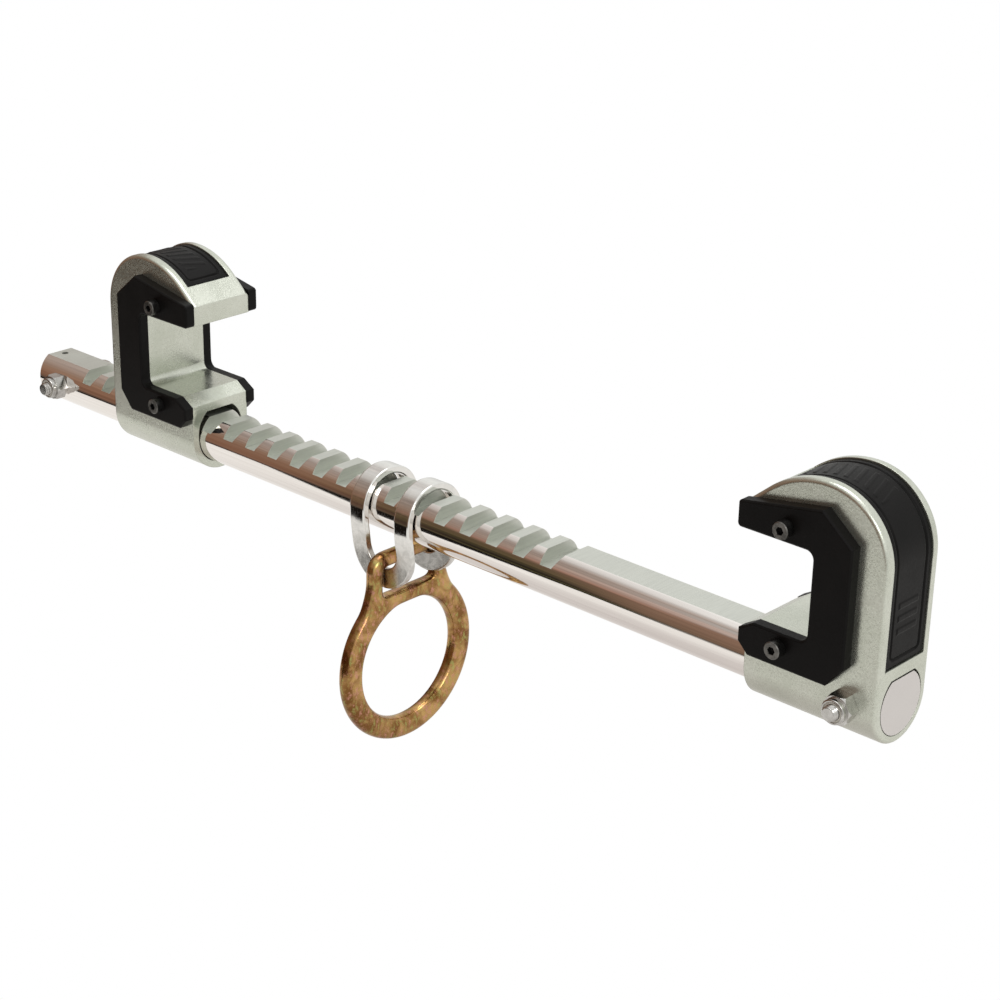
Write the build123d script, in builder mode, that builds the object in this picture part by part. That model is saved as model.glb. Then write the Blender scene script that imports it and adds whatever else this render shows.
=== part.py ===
"""Sliding beam anchor clamp: a notched bar, a fixed and a sliding jaw, a folded link and an anchor ring.

Millimetres, +Z up, the bar along X. The origin is on the fixed jaw's flange seat, the flat underside of
its upper arm, which bears on the top of a beam's lower flange.
"""

import math
import os

from build123d import *

os.makedirs("parts", exist_ok=True)

# ---------------------------------------------------------------- bar
bar_length = 502.8
bar_radius = 12.7
bar_flat_height = 10.6  # from the bar's axis up to its flat
notch_count = 21
notch_pitch = 15.11
notch_depth = 5.6
notch_floor = 6.1  # flat bottom of a notch
notch_ramp = 3.4  # run of the sloping side
first_notch_wall = 34.0  # from the bar's free end
tether_hole_radius = 1.65
tether_hole_from_end = 5.0
end_edge_break = 0.6

# ---------------------------------------------------------------- jaws
jaw_length = 59.0
jaw_width = 32.6
spine_thickness = 28.7
lower_arm_thickness = 7.9  # between the bar's hole and the throat
throat_height = 35.9
nose_height = 9.2
upper_arm_overhang = 3.3  # of the upper arm's nose past the lower arm's
nose_chamfer_run = 5.0
lower_nose_chamfer = (6.3, 3.9)  # run and drop
crown_height = 25.9  # from the throat's top to the jaw's top
crown_radius = 28.0
brow_radius = 39.5  # flatter arc from the crown to the nose
throat_fillet = 3.5
jaw_edge_fillet = 1.7
bar_side_clearance = 0.3
bar_top_clearance = 2.7  # over the bar's flat in the sliding jaw
fixed_top_clearance = 0.7  # and in the fixed jaw
seat_from_nose = 14.0  # from the lower arm's nose to the origin, on the flange seat

# ---------------------------------------------------------------- pads and their screws
pad_thickness = 5.0
pad_proud = 0.4  # past the jaw's nose
pad_nose_top = 10.5  # above the throat's top, at the nose
pad_crown_top = 17.1  # above the throat's top, at the back
pad_back_gap = 12.3  # from the pad's back edge to the jaw's back
pad_upper_chamfer = (13.6, 11.2)
pad_lower_chamfer = (7.3, 8.6)
pad_corner_radius = 1.6  # of the upper arm's two corners at the nose
pad_lower_arm = 14.0  # below the throat's bottom
pad_toe_chamfer = 4.6
pad_edge_break = 0.7
pad_hole_clearance = 0.25
screw_from_nose = 18.1
screw_above_throat = 5.8
screw_below_throat = 5.9
screw_radius = 2.0
screw_in_jaw = 7.5
screw_head_radius = 3.5
screw_head_height = 4.0
screw_socket_across = 3.0
screw_socket_depth = 2.2

# ---------------------------------------------------------------- inlays
channel_width = 24.8
channel_depth = 3.6
inlay_thickness = 3.0
inlay_side_clearance = 0.1
inlay_border = 2.4
inlay_panel_depth = 0.5
fixed_inlay_above_hole = 2.9  # from the bar's hole up to the inlay's lower end
sliding_inlay_above_hole = 29.0  # higher, above the thumb catch

# ---------------------------------------------------------------- bolts and nuts
bolt_radius = 3.175
bolt_head_across = 11.1
bolt_head_height = 4.2
hex_crown_slope = 30  # degrees from the axis of the cone that cuts a hexagon's end corners
hex_face_ratio = 1.03  # that cone's end radius over half the width across flats
nut_across = 11.1
nut_hex_height = 5.6
nut_height = 7.9
nut_collar_radius = 5.0
insert_radius = 4.1
insert_height = 1.7
thread_past_nut = 2.6
bolt_hole_clearance = 0.1
thread_clearance = 0.02
fixed_bolt_from_back = 13.3
end_stop_from_end = 17.0

# ---------------------------------------------------------------- pawl and its catch
rest_notch = 3  # the notch, from the free end, that the pawl sits in
pawl_radius = 4.5
pawl_from_nose = 39.8
pawl_fit = 0.05
pawl_wall_gap = 0.25
pawl_floor_gap = 0.15
pawl_height = 32.0
pawl_lift = 5.9
pawl_pocket_radius = 3.2
pawl_pocket_depth = 10.0
bore_above_pawl = 15.0
spring_radius = 2.9
spring_wire = 0.7
spring_turns = 9
catch_width = 16.0
catch_height = 14.0
catch_thickness = 5.0
catch_corner_radius = 1.5
catch_recess_depth = 3.0
catch_clearance = 0.3
catch_below_screw = 5.0
catch_ribs = 4
catch_rib_depth = 0.8
catch_screw_above_floor = 17.8  # above the pawl's tip
catch_screw_head_radius = 3.5
catch_screw_head_height = 2.2
catch_screw_slot_gap = 0.25
catch_screw_head_edge = 0.8

# ---------------------------------------------------------------- link and ring
link_from_end = 247.4  # the link's middle, from the bar's free end
link_width = 36.1
strap_width = 9.0
strap_thickness = 3.3
hoop_inner_radius = 13.5
hoop_gap = 0.3  # between the hoops and the corners of the bar's flat
hang_inner_half = 11.6  # the hanging ends, inner face from the middle plane
link_drop = 33.5  # from the bar's axis to the link's lowest point
neck_top = 1.0  # below the bar's axis, where the legs start to lean in
neck_bottom = 22.0
ring_inner_radius = 28.4
ring_section_radius = 5.4
ring_thickness = 7.4  # between the section's flattened sides
ring_centre_drop = 72.0  # from the bar's axis
eye_radius = 3.8  # of the eye's round section
post_gap = 0.5  # between a post and the link beside it
eye_corner_radius = 5.0
crossbar_height = 6.4
crossbar_depth = 7.6
crossbar_top_drop = 37.6
eye_seat_gap = 0.3

# ---------------------------------------------------------------- derived places
hole_top = bar_flat_height + bar_top_clearance
throat_bottom = hole_top + lower_arm_thickness
seat_above_bar = throat_bottom + throat_height
crown_top = seat_above_bar + crown_height
crown_u = jaw_length - crown_radius
throat_depth = jaw_length - spine_thickness
axis_z = -seat_above_bar
bar_end_x = jaw_length - seat_from_nose
bar_free_x = bar_end_x - bar_length
fixed_nose_x = -seat_from_nose
rest_wall_x = bar_free_x + first_notch_wall + rest_notch * notch_pitch
sliding_nose_x = rest_wall_x + pawl_wall_gap + pawl_radius + pawl_from_nose
sleeve_radius = jaw_width / 2
flat_half = math.sqrt(bar_radius**2 - bar_flat_height**2)


def jaw_plane(nose_x, back):
    """A jaw's own plane: its x runs from the nose to the back, its y up from the bar's axis."""
    return Plane(origin=(nose_x, 0, axis_z), x_dir=(back, 0, 0), z_dir=(0, -back, 0))


def cross_plane(x):
    """The plane across the bar at x: its x is +Y, its y up from the bar's axis."""
    return Plane(origin=(x, 0, axis_z), x_dir=(0, 1, 0), z_dir=(1, 0, 0))


def side_plane(x, y, z_dir):
    """A plane that faces along Y, with its centre on the height of the bar's axis."""
    return Plane(origin=(x, y, axis_z), x_dir=(1, 0, 0), z_dir=(0, z_dir, 0))


def save(part, label):
    part.label = label
    export_step(part, f"parts/{label}.step")


# ================================================================ bar
with BuildPart() as rail_bar:
    with BuildSketch(cross_plane(bar_free_x)):
        Circle(bar_radius)
        with Locations((0, bar_flat_height)):
            Rectangle(2 * bar_radius, bar_radius, align=(Align.CENTER, Align.MIN), mode=Mode.SUBTRACT)
    extrude(amount=bar_length)
    chamfer(rail_bar.faces().sort_by(Axis.X)[0].edges(), end_edge_break)
    for notch in range(notch_count):
        wall = bar_free_x + first_notch_wall + notch * notch_pitch
        with BuildSketch(Plane(origin=(wall, 0, axis_z + bar_flat_height), x_dir=(1, 0, 0),
                               z_dir=(0, -1, 0))):
            with BuildLine():
                Polyline(
                    (0, bar_radius),
                    (0, -notch_depth),
                    (notch_floor, -notch_depth),
                    (notch_floor + notch_ramp, 0),
                    (notch_floor + notch_ramp, bar_radius),
                    close=True,
                )
            make_face()
        extrude(amount=bar_radius, both=True, mode=Mode.SUBTRACT)
    with BuildSketch(Plane.XY.offset(axis_z)):
        with Locations((bar_free_x + tether_hole_from_end, 0)):
            Circle(tether_hole_radius)
    extrude(amount=bar_radius, both=True, mode=Mode.SUBTRACT)
    with BuildSketch(side_plane(bar_free_x + end_stop_from_end, 0, -1)):
        Circle(bolt_radius + bolt_hole_clearance)
    extrude(amount=bar_radius, both=True, mode=Mode.SUBTRACT)
    with BuildSketch(side_plane(bar_end_x - fixed_bolt_from_back, 0, -1)):
        Circle(bolt_radius + bolt_hole_clearance)
    extrude(amount=bar_radius, both=True, mode=Mode.SUBTRACT)
save(rail_bar.part, "rail_bar")


# ================================================================ jaws
def back_outline(inset, low, run_past=0.0):
    """The jaw's back, crown and brow, inset by a distance, from a height at the back to the nose chamfer."""
    brow_centre = crown_top - brow_radius
    lean = math.asin((crown_u - nose_chamfer_run) / brow_radius) + run_past / brow_radius
    reach = brow_radius - inset
    end = (crown_u - reach * math.sin(lean), brow_centre + reach * math.cos(lean))
    Line((jaw_length - inset, low), (jaw_length - inset, crown_top - crown_radius))
    RadiusArc(
        (jaw_length - inset, crown_top - crown_radius), (crown_u, crown_top - inset), -(crown_radius - inset)
    )
    RadiusArc((crown_u, crown_top - inset), end, -reach)
    return end


def band_outline(outer_inset, inner_inset, low, shorten=0.0):
    """The lines round a band between two insets of the jaw's back outline."""
    outer_end = back_outline(outer_inset, low, -shorten)
    inner_end = back_outline(inner_inset, low, -shorten)
    Line(outer_end, inner_end)
    Line((jaw_length - outer_inset, low), (jaw_length - inner_inset, low))


def hole_outline(top_clearance):
    """The lines round the hole for the bar, in the plane across it."""
    radius = bar_radius + bar_side_clearance
    top = bar_flat_height + top_clearance
    half = math.sqrt(radius**2 - bar_flat_height**2)
    RadiusArc((-radius, 0), (radius, 0), -radius)
    Line((radius, 0), (radius, top_clearance))
    RadiusArc((radius, top_clearance), (half, top), -radius)
    Line((half, top), (-half, top))
    RadiusArc((-half, top), (-radius, top_clearance), -radius)
    Line((-radius, top_clearance), (-radius, 0))


def jaw_casting(nose_x, back, inlay_above_hole, top_clearance):
    """The casting that both jaws share: a C-shaped body on a sleeve, with a channel for the inlay."""
    plane = jaw_plane(nose_x, back)
    run, drop = lower_nose_chamfer
    with BuildPart() as jaw:
        with BuildSketch(plane):
            with BuildLine():
                brow_end = back_outline(0, -sleeve_radius)
                Polyline(
                    brow_end,
                    (-upper_arm_overhang, seat_above_bar + nose_height),
                    (-upper_arm_overhang, seat_above_bar),
                    (throat_depth, seat_above_bar),
                    (throat_depth, throat_bottom),
                    (run, throat_bottom),
                    (0, throat_bottom - drop),
                    (0, -sleeve_radius),
                    (jaw_length, -sleeve_radius),
                )
            make_face()
            fillet(throat_corners(vertices()), throat_fillet)
        extrude(amount=sleeve_radius, both=True)
        with BuildSketch(cross_plane(nose_x - back * upper_arm_overhang)):
            Circle(sleeve_radius)
            Rectangle(jaw_width, 2 * crown_top, align=(Align.CENTER, Align.MIN))
        extrude(amount=back * (upper_arm_overhang + jaw_length), mode=Mode.INTERSECT)
        sides = jaw.faces().filter_by(Axis.Y)
        rims = sides.edges().filter_by(lambda e: not is_throat_edge(e, plane))
        fillet(rims, jaw_edge_fillet)
        with BuildSketch(cross_plane(nose_x)):
            with BuildLine():
                hole_outline(top_clearance)
            make_face()
        extrude(amount=back * jaw_length, mode=Mode.SUBTRACT)
        with BuildSketch(plane):
            with BuildLine():
                band_outline(-channel_depth, channel_depth, hole_top + inlay_above_hole)
            make_face()
        extrude(amount=channel_width / 2, both=True, mode=Mode.SUBTRACT)
        for side in (-1, 1):
            with BuildSketch(Plane(origin=(nose_x, side * sleeve_radius, axis_z), x_dir=(back, 0, 0),
                                   z_dir=(0, -back, 0))):
                with Locations(*screw_places):
                    Circle(screw_radius + thread_clearance)
            extrude(amount=side * back * screw_in_jaw, mode=Mode.SUBTRACT)
    return jaw


def throat_corners(corners):
    """The two inner corners of the throat, among the corners of an outline in a jaw's own plane."""
    return [corner for corner in corners if abs(corner.X - throat_depth) < pad_edge_break]


def is_throat_edge(edge, plane):
    """Whether an edge lies on the throat's walls or on the nose, which stay sharp beside the pads."""
    place = plane.to_local_coords(edge.center())
    inside = place.X < throat_depth + 0.1 and throat_bottom - 0.1 < place.Y < seat_above_bar + 0.1
    return inside or place.X < nose_chamfer_run or place.Y < throat_bottom and place.X < throat_depth


screw_places = [
    (screw_from_nose, seat_above_bar + screw_above_throat),
    (screw_from_nose, throat_bottom - screw_below_throat),
]

with BuildPart() as fixed_jaw:
    add(jaw_casting(fixed_nose_x, 1, fixed_inlay_above_hole, fixed_top_clearance).part)
    with BuildSketch(side_plane(bar_end_x - fixed_bolt_from_back, 0, -1)):
        Circle(bolt_radius + bolt_hole_clearance)
    extrude(amount=jaw_width, both=True, mode=Mode.SUBTRACT)
save(fixed_jaw.part, "fixed_jaw")

pawl_x = sliding_nose_x - pawl_from_nose
pawl_tip_z = axis_z + bar_flat_height - notch_depth + pawl_floor_gap
pawl_top_z = pawl_tip_z + pawl_height
catch_screw_z = pawl_tip_z + catch_screw_above_floor
bore_top_z = pawl_top_z + bore_above_pawl
sliding_back_x = sliding_nose_x - jaw_length
catch_low_z = catch_screw_z - catch_below_screw
slot_half = screw_radius + catch_screw_slot_gap

with BuildPart() as sliding_jaw:
    add(jaw_casting(sliding_nose_x, -1, sliding_inlay_above_hole, bar_top_clearance).part)
    with BuildSketch(Plane.XY.offset(axis_z)):
        with Locations((pawl_x, 0)):
            Circle(pawl_radius + pawl_fit)
    extrude(amount=bore_top_z - axis_z, mode=Mode.SUBTRACT)
    with BuildSketch(Plane(origin=(sliding_back_x, 0, catch_low_z - catch_clearance), x_dir=(0, 1, 0),
                           z_dir=(1, 0, 0))):
        Rectangle(catch_width + 2 * catch_clearance, catch_height + pawl_lift + 2 * catch_clearance,
                  align=(Align.CENTER, Align.MIN))
    extrude(amount=catch_recess_depth, mode=Mode.SUBTRACT)
    with BuildSketch(Plane(origin=(sliding_back_x, 0, catch_screw_z + pawl_lift / 2), x_dir=(0, 0, 1),
                           z_dir=(1, 0, 0))):
        SlotCenterToCenter(pawl_lift + 2 * catch_screw_slot_gap, 2 * slot_half)
    extrude(amount=pawl_x - sliding_back_x, mode=Mode.SUBTRACT)
save(sliding_jaw.part, "sliding_jaw")


# ================================================================ pads
def jaw_pad(nose_x, back, side):
    """A C-shaped wear pad on one side of a jaw, flush with the throat and a little proud of the nose."""
    plane = Plane(origin=(nose_x, side * sleeve_radius, axis_z), x_dir=(back, 0, 0), z_dir=(0, -back, 0))
    pad_back = jaw_length - pad_back_gap
    toe = throat_bottom - pad_lower_arm
    run, drop = lower_nose_chamfer
    with BuildPart() as pad:
        with BuildSketch(plane):
            with BuildLine():
                Polyline(
                    (-upper_arm_overhang - pad_proud, seat_above_bar),
                    (-upper_arm_overhang - pad_proud, seat_above_bar + pad_nose_top),
                    (pad_back - pad_upper_chamfer[0], seat_above_bar + pad_crown_top),
                    (pad_back, seat_above_bar + pad_crown_top - pad_upper_chamfer[1]),
                    (pad_back, toe + pad_lower_chamfer[1]),
                    (pad_back - pad_lower_chamfer[0], toe),
                    (pad_toe_chamfer - pad_proud, toe),
                    (-pad_proud, toe + pad_toe_chamfer),
                    (-pad_proud, throat_bottom - drop),
                    (run, throat_bottom),
                    (throat_depth, throat_bottom),
                    (throat_depth, seat_above_bar),
                    close=True,
                )
            make_face()
            fillet(throat_corners(vertices()), throat_fillet)
            fillet([corner for corner in vertices() if corner.X < -upper_arm_overhang], pad_corner_radius)
        extrude(amount=-side * back * pad_thickness)
        outer = pad.faces().sort_by(Axis.Y)[-1 if side > 0 else 0]
        chamfer(outer.edges(), pad_edge_break)
        with BuildSketch(plane):
            with Locations(*screw_places):
                Circle(screw_radius + pad_hole_clearance)
        extrude(amount=-side * back * pad_thickness, mode=Mode.SUBTRACT)
    return pad


def pad_screws(nose_x, back, side):
    """Two socket-head cap screws that hold a pad."""
    face = side * (sleeve_radius + pad_thickness)
    plane = Plane(origin=(nose_x, face, axis_z), x_dir=(back, 0, 0), z_dir=(0, -back, 0))
    out = -side * back
    with BuildPart() as screws:
        with BuildSketch(plane):
            with Locations(*screw_places):
                Circle(screw_head_radius)
        extrude(amount=out * screw_head_height)
        rim = screws.faces().filter_by(Axis.Y).group_by(Axis.Y)[-1 if side > 0 else 0]
        chamfer(rim.edges(), pad_edge_break / 2)
        with BuildSketch(plane):
            with Locations(*screw_places):
                Circle(screw_radius)
        extrude(amount=-out * (pad_thickness + screw_in_jaw))
        with BuildSketch(plane.offset(out * screw_head_height)):
            with Locations(*screw_places):
                RegularPolygon(screw_socket_across / 2, 6, major_radius=False)
        extrude(amount=-out * screw_socket_depth, mode=Mode.SUBTRACT)
    return screws


# ================================================================ inlays
def jaw_inlay(nose_x, back, inlay_above_hole):
    """The rubber band in a jaw's channel, with a raised border round a lower panel."""
    plane = jaw_plane(nose_x, back)
    low = hole_top + inlay_above_hole
    top = channel_depth - inlay_thickness
    with BuildPart() as inlay:
        with BuildSketch(plane):
            with BuildLine():
                band_outline(top, channel_depth, low + inlay_side_clearance, inlay_side_clearance)
            make_face()
        extrude(amount=channel_width / 2 - inlay_side_clearance, both=True)
        with BuildSketch(plane):
            with BuildLine():
                band_outline(top / 2, top + inlay_panel_depth, low + inlay_border, inlay_border)
            make_face()
        extrude(amount=channel_width / 2 - inlay_border, both=True, mode=Mode.SUBTRACT)
    return inlay


for jaw_name, nose_x, back, inlay_low in (
    ("fixed_jaw", fixed_nose_x, 1, fixed_inlay_above_hole),
    ("sliding_jaw", sliding_nose_x, -1, sliding_inlay_above_hole),
):
    for side_name, side in (("front", -1), ("rear", 1)):
        save(jaw_pad(nose_x, back, side).part, f"{jaw_name}_{side_name}_pad")
        save(pad_screws(nose_x, back, side).part, f"{jaw_name}_{side_name}_screws")
    save(jaw_inlay(nose_x, back, inlay_low).part, f"{jaw_name}_inlay")


# ================================================================ bolts and nuts
hex_crown_tangent = math.tan(math.radians(hex_crown_slope))


def cross_bolt(x, half_width):
    """A hexagon-head bolt through the bar along Y, with its head at the back."""
    with BuildPart() as bolt:
        with BuildSketch(side_plane(x, half_width, 1)):
            RegularPolygon(bolt_head_across / 2, 6, major_radius=False)
        extrude(amount=bolt_head_height)
        with BuildSketch(side_plane(x, half_width, 1)):
            Circle(bolt_head_across / 2 * hex_face_ratio + bolt_head_height * hex_crown_tangent)
        extrude(amount=bolt_head_height, taper=hex_crown_slope, mode=Mode.INTERSECT)
        with BuildSketch(side_plane(x, half_width, -1)):
            Circle(bolt_radius)
        extrude(amount=2 * half_width + nut_height + thread_past_nut)
        tip = bolt.faces().sort_by(Axis.Y)[0]
        chamfer(tip.edges(), end_edge_break)
    return bolt


def lock_nut(x, half_width):
    """A hexagon nut with a round collar that holds a nylon ring."""
    with BuildPart() as nut:
        with BuildSketch(side_plane(x, -half_width, -1)):
            RegularPolygon(nut_across / 2, 6, major_radius=False)
        extrude(amount=nut_hex_height)
        with BuildSketch(side_plane(x, -half_width, -1)):
            Circle(nut_across / 2 * hex_face_ratio + nut_hex_height * hex_crown_tangent)
        extrude(amount=nut_hex_height, taper=hex_crown_slope, mode=Mode.INTERSECT)
        with BuildSketch(side_plane(x, -half_width, -1)):
            Circle(nut_collar_radius)
        extrude(amount=nut_height)
        fillet(nut.faces().sort_by(Axis.Y)[0].edges(), end_edge_break)
        with BuildSketch(side_plane(x, -half_width, -1)):
            Circle(bolt_radius + thread_clearance)
        extrude(amount=nut_height, mode=Mode.SUBTRACT)
        with BuildSketch(side_plane(x, -half_width - nut_height + insert_height, -1)):
            Circle(insert_radius)
        extrude(amount=insert_height, mode=Mode.SUBTRACT)
    return nut


def nut_insert(x, half_width):
    """The nylon ring in a lock nut's collar."""
    with BuildPart() as ring:
        with BuildSketch(side_plane(x, -half_width - nut_height + insert_height, -1)):
            Circle(insert_radius)
            Circle(bolt_radius + thread_clearance, mode=Mode.SUBTRACT)
        extrude(amount=insert_height - end_edge_break / 2)
    return ring


for set_name, x, half_width in (
    ("fixed_jaw", bar_end_x - fixed_bolt_from_back, sleeve_radius),
    ("end_stop", bar_free_x + end_stop_from_end, bar_radius),
):
    save(cross_bolt(x, half_width).part, f"{set_name}_bolt")
    save(lock_nut(x, half_width).part, f"{set_name}_nut")
    save(nut_insert(x, half_width).part, f"{set_name}_nut_insert")

# ================================================================ pawl
with BuildPart() as ratchet_pawl:
    with BuildSketch(Plane.XY.offset(pawl_tip_z)):
        with Locations((pawl_x, 0)):
            Circle(pawl_radius)
    extrude(amount=pawl_height)
    # the ramp side, parallel to the notch's ramp
    with BuildSketch(Plane(origin=(rest_wall_x + notch_floor, 0, pawl_tip_z), x_dir=(1, 0, 0),
                           z_dir=(0, -1, 0))):
        with BuildLine():
            lean = notch_ramp / notch_depth
            rise = 2 * notch_depth
            Polyline(
                (-2 * pawl_wall_gap, 0),
                (-2 * pawl_wall_gap + lean * rise, rise),
                (2 * pawl_radius, rise),
                (2 * pawl_radius, 0),
                close=True,
            )
        make_face()
    extrude(amount=pawl_radius, both=True, mode=Mode.SUBTRACT)
    with BuildSketch(Plane.XY.offset(pawl_top_z)):
        with Locations((pawl_x, 0)):
            Circle(pawl_pocket_radius)
    extrude(amount=-pawl_pocket_depth, mode=Mode.SUBTRACT)
    with BuildSketch(Plane(origin=(pawl_x, 0, catch_screw_z), x_dir=(0, 1, 0), z_dir=(-1, 0, 0))):
        Circle(screw_radius + thread_clearance)
    extrude(amount=pawl_radius, mode=Mode.SUBTRACT)
save(ratchet_pawl.part, "ratchet_pawl")

spring_low = pawl_top_z - pawl_pocket_depth + spring_wire / 2
spring_high = bore_top_z - spring_wire / 2
with BuildPart() as pawl_spring:
    with BuildLine(Plane.XY.offset(spring_low)) as coil:
        Helix((spring_high - spring_low) / spring_turns, spring_high - spring_low,
              spring_radius - spring_wire / 2, center=(pawl_x, 0, 0))
    with BuildSketch(Plane(origin=coil.line @ 0, z_dir=coil.line % 0)):
        Circle(spring_wire / 2)
    sweep(is_frenet=True)
save(pawl_spring.part, "pawl_spring")

catch_back = sliding_back_x + catch_recess_depth
with BuildPart() as thumb_catch:
    with BuildSketch(Plane(origin=(catch_back, 0, catch_low_z), x_dir=(0, -1, 0), z_dir=(-1, 0, 0))):
        Rectangle(catch_width, catch_height, align=(Align.CENTER, Align.MIN))
    extrude(amount=catch_thickness)
    fillet(thumb_catch.edges().filter_by(Axis.X), catch_corner_radius)
    rib_space = (catch_height - catch_below_screw - catch_screw_head_radius) / catch_ribs
    rib_bottom = catch_screw_z + catch_screw_head_radius
    for rib in range(catch_ribs):
        with BuildSketch(Plane(origin=(catch_back - catch_thickness, 0, rib_bottom + (rib + 0.5) * rib_space),
                               x_dir=(0, 1, 0), z_dir=(-1, 0, 0))):
            Rectangle(catch_width, rib_space / 2)
        extrude(amount=-catch_rib_depth, mode=Mode.SUBTRACT)
    with BuildSketch(Plane(origin=(catch_back, 0, catch_screw_z), x_dir=(0, 1, 0), z_dir=(-1, 0, 0))):
        Circle(screw_radius + thread_clearance)
    extrude(amount=catch_thickness, mode=Mode.SUBTRACT)
    with BuildSketch(Plane(origin=(catch_back - catch_thickness, 0, catch_screw_z), x_dir=(0, 1, 0),
                           z_dir=(1, 0, 0))):
        Circle(catch_screw_head_radius + catch_screw_slot_gap)
    extrude(amount=catch_screw_head_height, mode=Mode.SUBTRACT)
save(thumb_catch.part, "thumb_catch")

with BuildPart() as catch_screw:
    with BuildSketch(Plane(origin=(catch_back - catch_thickness + catch_screw_head_height, 0, catch_screw_z),
                           x_dir=(0, 1, 0), z_dir=(-1, 0, 0))):
        Circle(catch_screw_head_radius)
    extrude(amount=catch_screw_head_height)
    fillet(catch_screw.faces().sort_by(Axis.X)[0].edges(), catch_screw_head_edge)
    with BuildSketch(Plane(origin=(catch_back - catch_thickness, 0, catch_screw_z), x_dir=(0, 1, 0),
                           z_dir=(1, 0, 0))):
        RegularPolygon(screw_socket_across / 2, 6, major_radius=False)
    extrude(amount=catch_screw_head_height / 2, mode=Mode.SUBTRACT)
    with BuildSketch(Plane(origin=(catch_back - catch_thickness + catch_screw_head_height, 0, catch_screw_z),
                           x_dir=(0, 1, 0), z_dir=(1, 0, 0))):
        Circle(screw_radius)
    extrude(amount=pawl_x - catch_back + catch_thickness - catch_screw_head_height)
save(catch_screw.part, "catch_screw")

# ================================================================ link
link_x = bar_free_x + link_from_end
hoop_drop = math.sqrt((hoop_inner_radius - hoop_gap) ** 2 - flat_half**2) - bar_flat_height


def link_side_path(grow):
    """Half of the link's side view: the hanging end, the leaning neck and a quarter of the hoop."""
    radius = hoop_inner_radius + grow
    hang = hang_inner_half + grow
    Line((hang, -link_drop), (hang, -neck_bottom))
    Spline((hang, -neck_bottom), (radius, -neck_top), tangents=((0, 1), (0, 1)))
    Line((radius, -neck_top), (radius, -hoop_drop))
    RadiusArc((radius, -hoop_drop), (0, radius - hoop_drop), -radius)


with BuildPart() as saddle_link:
    with BuildSketch(cross_plane(link_x)):
        with BuildLine():
            link_side_path(0)
            link_side_path(strap_thickness)
            Line((hang_inner_half, -link_drop), (hang_inner_half + strap_thickness, -link_drop))
            Line((0, hoop_inner_radius - hoop_drop), (0, hoop_inner_radius + strap_thickness - hoop_drop))
        make_face()
        mirror(about=Plane.YZ)
    extrude(amount=link_width / 2, both=True)
    bend = link_width / 2
    with BuildSketch(jaw_plane(link_x, 1)):
        with Locations((0, bend - link_drop)):
            Circle(bend)
            Rectangle(link_width, 2 * link_drop, align=(Align.CENTER, Align.MIN))
    extrude(amount=2 * hoop_inner_radius, both=True, mode=Mode.INTERSECT)
    with BuildSketch(jaw_plane(link_x, 1)):
        with Locations((0, bend - link_drop)):
            Circle(bend - strap_width)
            Rectangle(link_width - 2 * strap_width, 3 * link_drop, align=(Align.CENTER, Align.MIN))
    extrude(amount=2 * hoop_inner_radius, both=True, mode=Mode.SUBTRACT)
save(saddle_link.part, "saddle_link")

# ================================================================ ring
eye_z = -link_drop + strap_width + eye_seat_gap + eye_radius
post_y = hang_inner_half + strap_thickness + post_gap + eye_radius
ring_mid_radius = ring_inner_radius + ring_section_radius
post_foot_z = -ring_centre_drop + math.sqrt(ring_mid_radius**2 - post_y**2) - eye_radius / 3

with BuildPart() as anchor_ring:
    with Locations(Plane(origin=(link_x, 0, axis_z - ring_centre_drop), x_dir=(0, 1, 0), z_dir=(1, 0, 0))):
        Torus(ring_mid_radius, ring_section_radius)
    with BuildSketch(cross_plane(link_x)):
        with Locations((0, -ring_centre_drop)):
            Circle(ring_mid_radius + 2 * ring_section_radius)
    extrude(amount=ring_thickness / 2, both=True, mode=Mode.INTERSECT)
    # the ring's top is flattened into a crossbar under the eye's window
    with BuildSketch(cross_plane(link_x)):
        with Locations((0, -crossbar_top_drop)):
            Rectangle(2 * post_y, crossbar_top_drop, align=(Align.CENTER, Align.MIN))
    extrude(amount=2 * ring_section_radius, both=True, mode=Mode.SUBTRACT)
    with BuildSketch(cross_plane(link_x)):
        with Locations((0, -crossbar_top_drop)):
            Rectangle(2 * post_y, crossbar_height, align=(Align.CENTER, Align.MAX))
    extrude(amount=crossbar_depth / 2, both=True)
    with BuildLine(cross_plane(link_x)):
        FilletPolyline(
            (-post_y, post_foot_z),
            (-post_y, eye_z),
            (post_y, eye_z),
            (post_y, post_foot_z),
            radius=eye_corner_radius,
        )
    with BuildSketch(Plane(origin=(link_x, -post_y, axis_z + post_foot_z), x_dir=(1, 0, 0), z_dir=(0, 0, 1))):
        Circle(eye_radius)
    sweep()
save(anchor_ring.part, "anchor_ring")
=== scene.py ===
"""Looks of the sliding beam clamp: a notched bar, two C-shaped jaws, a folded link and an anchor ring.

Metres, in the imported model's frame: the bar along X, +Z up, the nuts towards -Y.
"""

import math

import bmesh
import bpy
from mathutils import Matrix, Vector


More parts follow.
